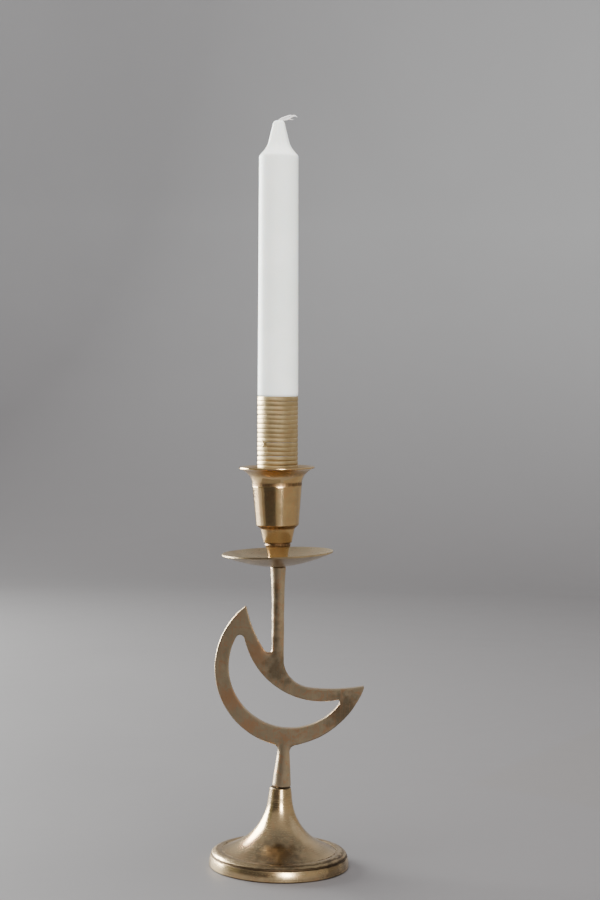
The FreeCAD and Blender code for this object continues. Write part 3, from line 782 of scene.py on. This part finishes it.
def make_bowl(material):
    """A plain pale floor that curves up into a plain wall all round."""
    profile = [(radius, 0.0) for radius in (0.25, 0.6, 1.0, FLOOR_RADIUS)]
    for k in range(1, 13):
        angle = math.pi / 2 * k / 12
        radius = FLOOR_RADIUS + WALL_BEND * math.sin(angle)
        profile.append((radius, WALL_BEND * (1 - math.cos(angle))))
    profile += [(FLOOR_RADIUS + WALL_BEND, height) for height in (1.2, WALL_TOP)]
    vertices = [(FOOT_CENTRE.x, 0.0, STAGE_LEVEL)]
    for radius, height in profile:
        for k in range(STAGE_SIDES):
            angle = 2 * math.pi * k / STAGE_SIDES
            x = FOOT_CENTRE.x + radius * math.cos(angle)
            vertices.append((x, radius * math.sin(angle), height + STAGE_LEVEL))
    faces = [(0, 1 + k, 1 + (k + 1) % STAGE_SIDES) for k in range(STAGE_SIDES)]
    faces += [(a, d, c, b) for a, b, c, d in ring_faces(len(profile), STAGE_SIDES, start=1)]
    bowl = add_object("pale_stage", vertices, faces, material)


def toward(direction, distance, height):
    """A place round the object. direction is in degrees from the camera's side, positive to the
    camera's left."""
    a = math.radians(direction)
    return Vector((FOOT_CENTRE.x - math.sin(a) * distance, -math.cos(a) * distance, height))


def soft_light(name, direction, distance, height, size, power, color, aim=0.2):
    """A rectangular soft box that faces the object's middle line at the height aim."""
    data = bpy.data.lights.new(name, "AREA")
    data.shape = "RECTANGLE"
    data.size, data.size_y = size
    data.energy = power
    data.color = color
    light = bpy.data.objects.new(name, data)
    light.location = toward(direction, distance, height)
    look = Vector((FOOT_CENTRE.x, 0, aim)) - light.location
    light.rotation_euler = look.to_track_quat("-Z", "Y").to_euler()
    light.visible_camera = False
    bpy.context.scene.collection.objects.link(light)
    return light


def light_only(name, light, objects):
    """Let a light reach these objects and no others."""
    group = bpy.data.collections.new(name)
    for obj in objects:
        group.objects.link(obj)
    light.light_linking.receiver_collection = group


def glow(name, tone):
    """A surface that gives off just this much light and has no shine of its own."""
    n = Nodes(name)
    n.set("Base Color", (0.0, 0.0, 0.0, 1.0))
    n.set("Specular IOR Level", 0.0)
    n.set("Emission Color", tone + (1.0,))
    n.set("Emission Strength", 1.0)
    return n.material


def studio_card(name, first, last, near, far, tone):
    """A curved card that only reflections see, as a dim room would show in polished metal.

    It runs between two directions. near and far are its edges' (distance, height)."""
    vertices = []
    columns = 24
    for k in range(columns + 1):
        direction = first + (last - first) * k / columns
        vertices.append(toward(direction, *near))
        vertices.append(toward(direction, *far))
    faces = [(2 * k, 2 * k + 2, 2 * k + 3, 2 * k + 1) for k in range(columns)]
    card = add_object(name, vertices, faces, glow(name, tone))
    card.visible_camera = False
    card.visible_diffuse = False
    card.visible_shadow = False
    card.visible_transmission = False


make_bowl(backdrop("stage_paint", (0.121, 0.115, 0.117), (0.26, 0.257, 0.261)))

# A large window behind on the left
soft_light("window_light", 126, 1.3, 0.44, (1.0, 0.80), 72.0, (0.96, 1.0, 0.97))

# Polished brass, wax and wire need different amounts of light from the front, so each of these
# four reaches only its own pieces
front = soft_light("front_light", -13, 1.3, 0.28, (0.34, 0.32), 13.0, (1.0, 0.97, 0.90))
light_only("lit_in_front", front, [frame["nodes"]["foot"], frame["nodes"]["candle_cup"]])
cup_line = soft_light("cup_line_light", -22, 1.3, 0.17, (0.10, 0.34), 2.2, (1.0, 0.97, 0.92))
light_only("lit_by_cup_line", cup_line, [frame["nodes"]["candle_cup"]])
candle_fill = soft_light("candle_fill", -16, 1.2, 0.45, (1.3, 0.8), 27.0, (1.0, 1.0, 0.965), 0.3)
candle_fill.visible_glossy = False
light_only("lit_by_fill", candle_fill, [candle_piece, wick_piece])
wire_fill = soft_light("wire_fill", 10, 1.2, 0.30, (2.6, 1.2), 7.5, (1.0, 0.97, 0.90), 0.25)
light_only("lit_by_wire_fill", wire_fill, [wire_piece])

# Soft light from above
ceiling = soft_light("ceiling_light", 20, 0.3, 2.2, (2.0, 2.0), 115.0, (1.0, 0.99, 0.98), 0.0)
ceiling.visible_glossy = False

# The dim room that the brass reflects
on_floor = CARD_LEVEL
studio_card("dim_floor_card", -18, 80, (0.18, on_floor), (1.62, on_floor), (0.245, 0.23, 0.208))
studio_card("dim_room_card", -36, 88, (1.6, 0.0), (1.6, 0.55), (0.20, 0.19, 0.175))
studio_card("high_room_card", -75, 88, (1.6, 0.55), (1.6, 2.2), (0.38, 0.36, 0.34))
studio_card("dark_card", 8, 66, (0.6, 0.001), (0.64, 0.21), (0.07, 0.066, 0.064))
studio_card("window_reveal_card", 66, 98, (1.2, 0.001), (1.22, 0.9), (0.17, 0.17, 0.12))
studio_card("warm_wall_card", -150, -30, (1.5, 0.01), (1.5, 0.5), (0.37, 0.34, 0.29))
studio_card("warm_floor_card", -150, -30, (0.25, on_floor), (1.5, on_floor), (0.36, 0.325, 0.27))

world = bpy.data.worlds.new("studio_air")
bpy.context.scene.world = world
world.use_nodes = True
air = world.node_tree.nodes["Background"]
air.inputs["Color"].default_value = (0.80, 0.82, 0.86, 1.0)
air.inputs["Strength"].default_value = 0.36

# Metres, then degrees, then millimetres
CAMERA_PLACE = (FOOT_CENTRE.x, -1.0237, 0.2697)
CAMERA_PITCH, CAMERA_YAW, CAMERA_ROLL = -2.276, 0.390, 1.181
CAMERA_LENS, CAMERA_SENSOR = 75.0, 36.0


def make_camera():
    """The camera, about a metre in front of the object and looking slightly down."""
    angles = (CAMERA_PITCH, CAMERA_YAW, CAMERA_ROLL)
    pitch, yaw, roll = (math.radians(angle) for angle in angles)
    level = math.cos(pitch)
    forward = Vector((math.sin(yaw) * level, math.cos(yaw) * level, math.sin(pitch)))
    right = forward.cross(Vector((0, 0, 1))).normalized()
    up = right.cross(forward)
    side = right * math.cos(roll) + up * math.sin(roll)
    top = up * math.cos(roll) - right * math.sin(roll)
    data = bpy.data.cameras.new("camera")
    data.lens = CAMERA_LENS
    data.sensor_width = CAMERA_SENSOR
    data.clip_start, data.clip_end = 0.05, 20.0
    camera = bpy.data.objects.new("camera", data)
    turn = Matrix((side, top, -forward)).transposed().to_4x4()
    camera.matrix_world = Matrix.Translation(CAMERA_PLACE) @ turn
    bpy.context.scene.collection.objects.link(camera)
    bpy.context.scene.camera = camera


make_camera()

bpy.context.view_layer.update()
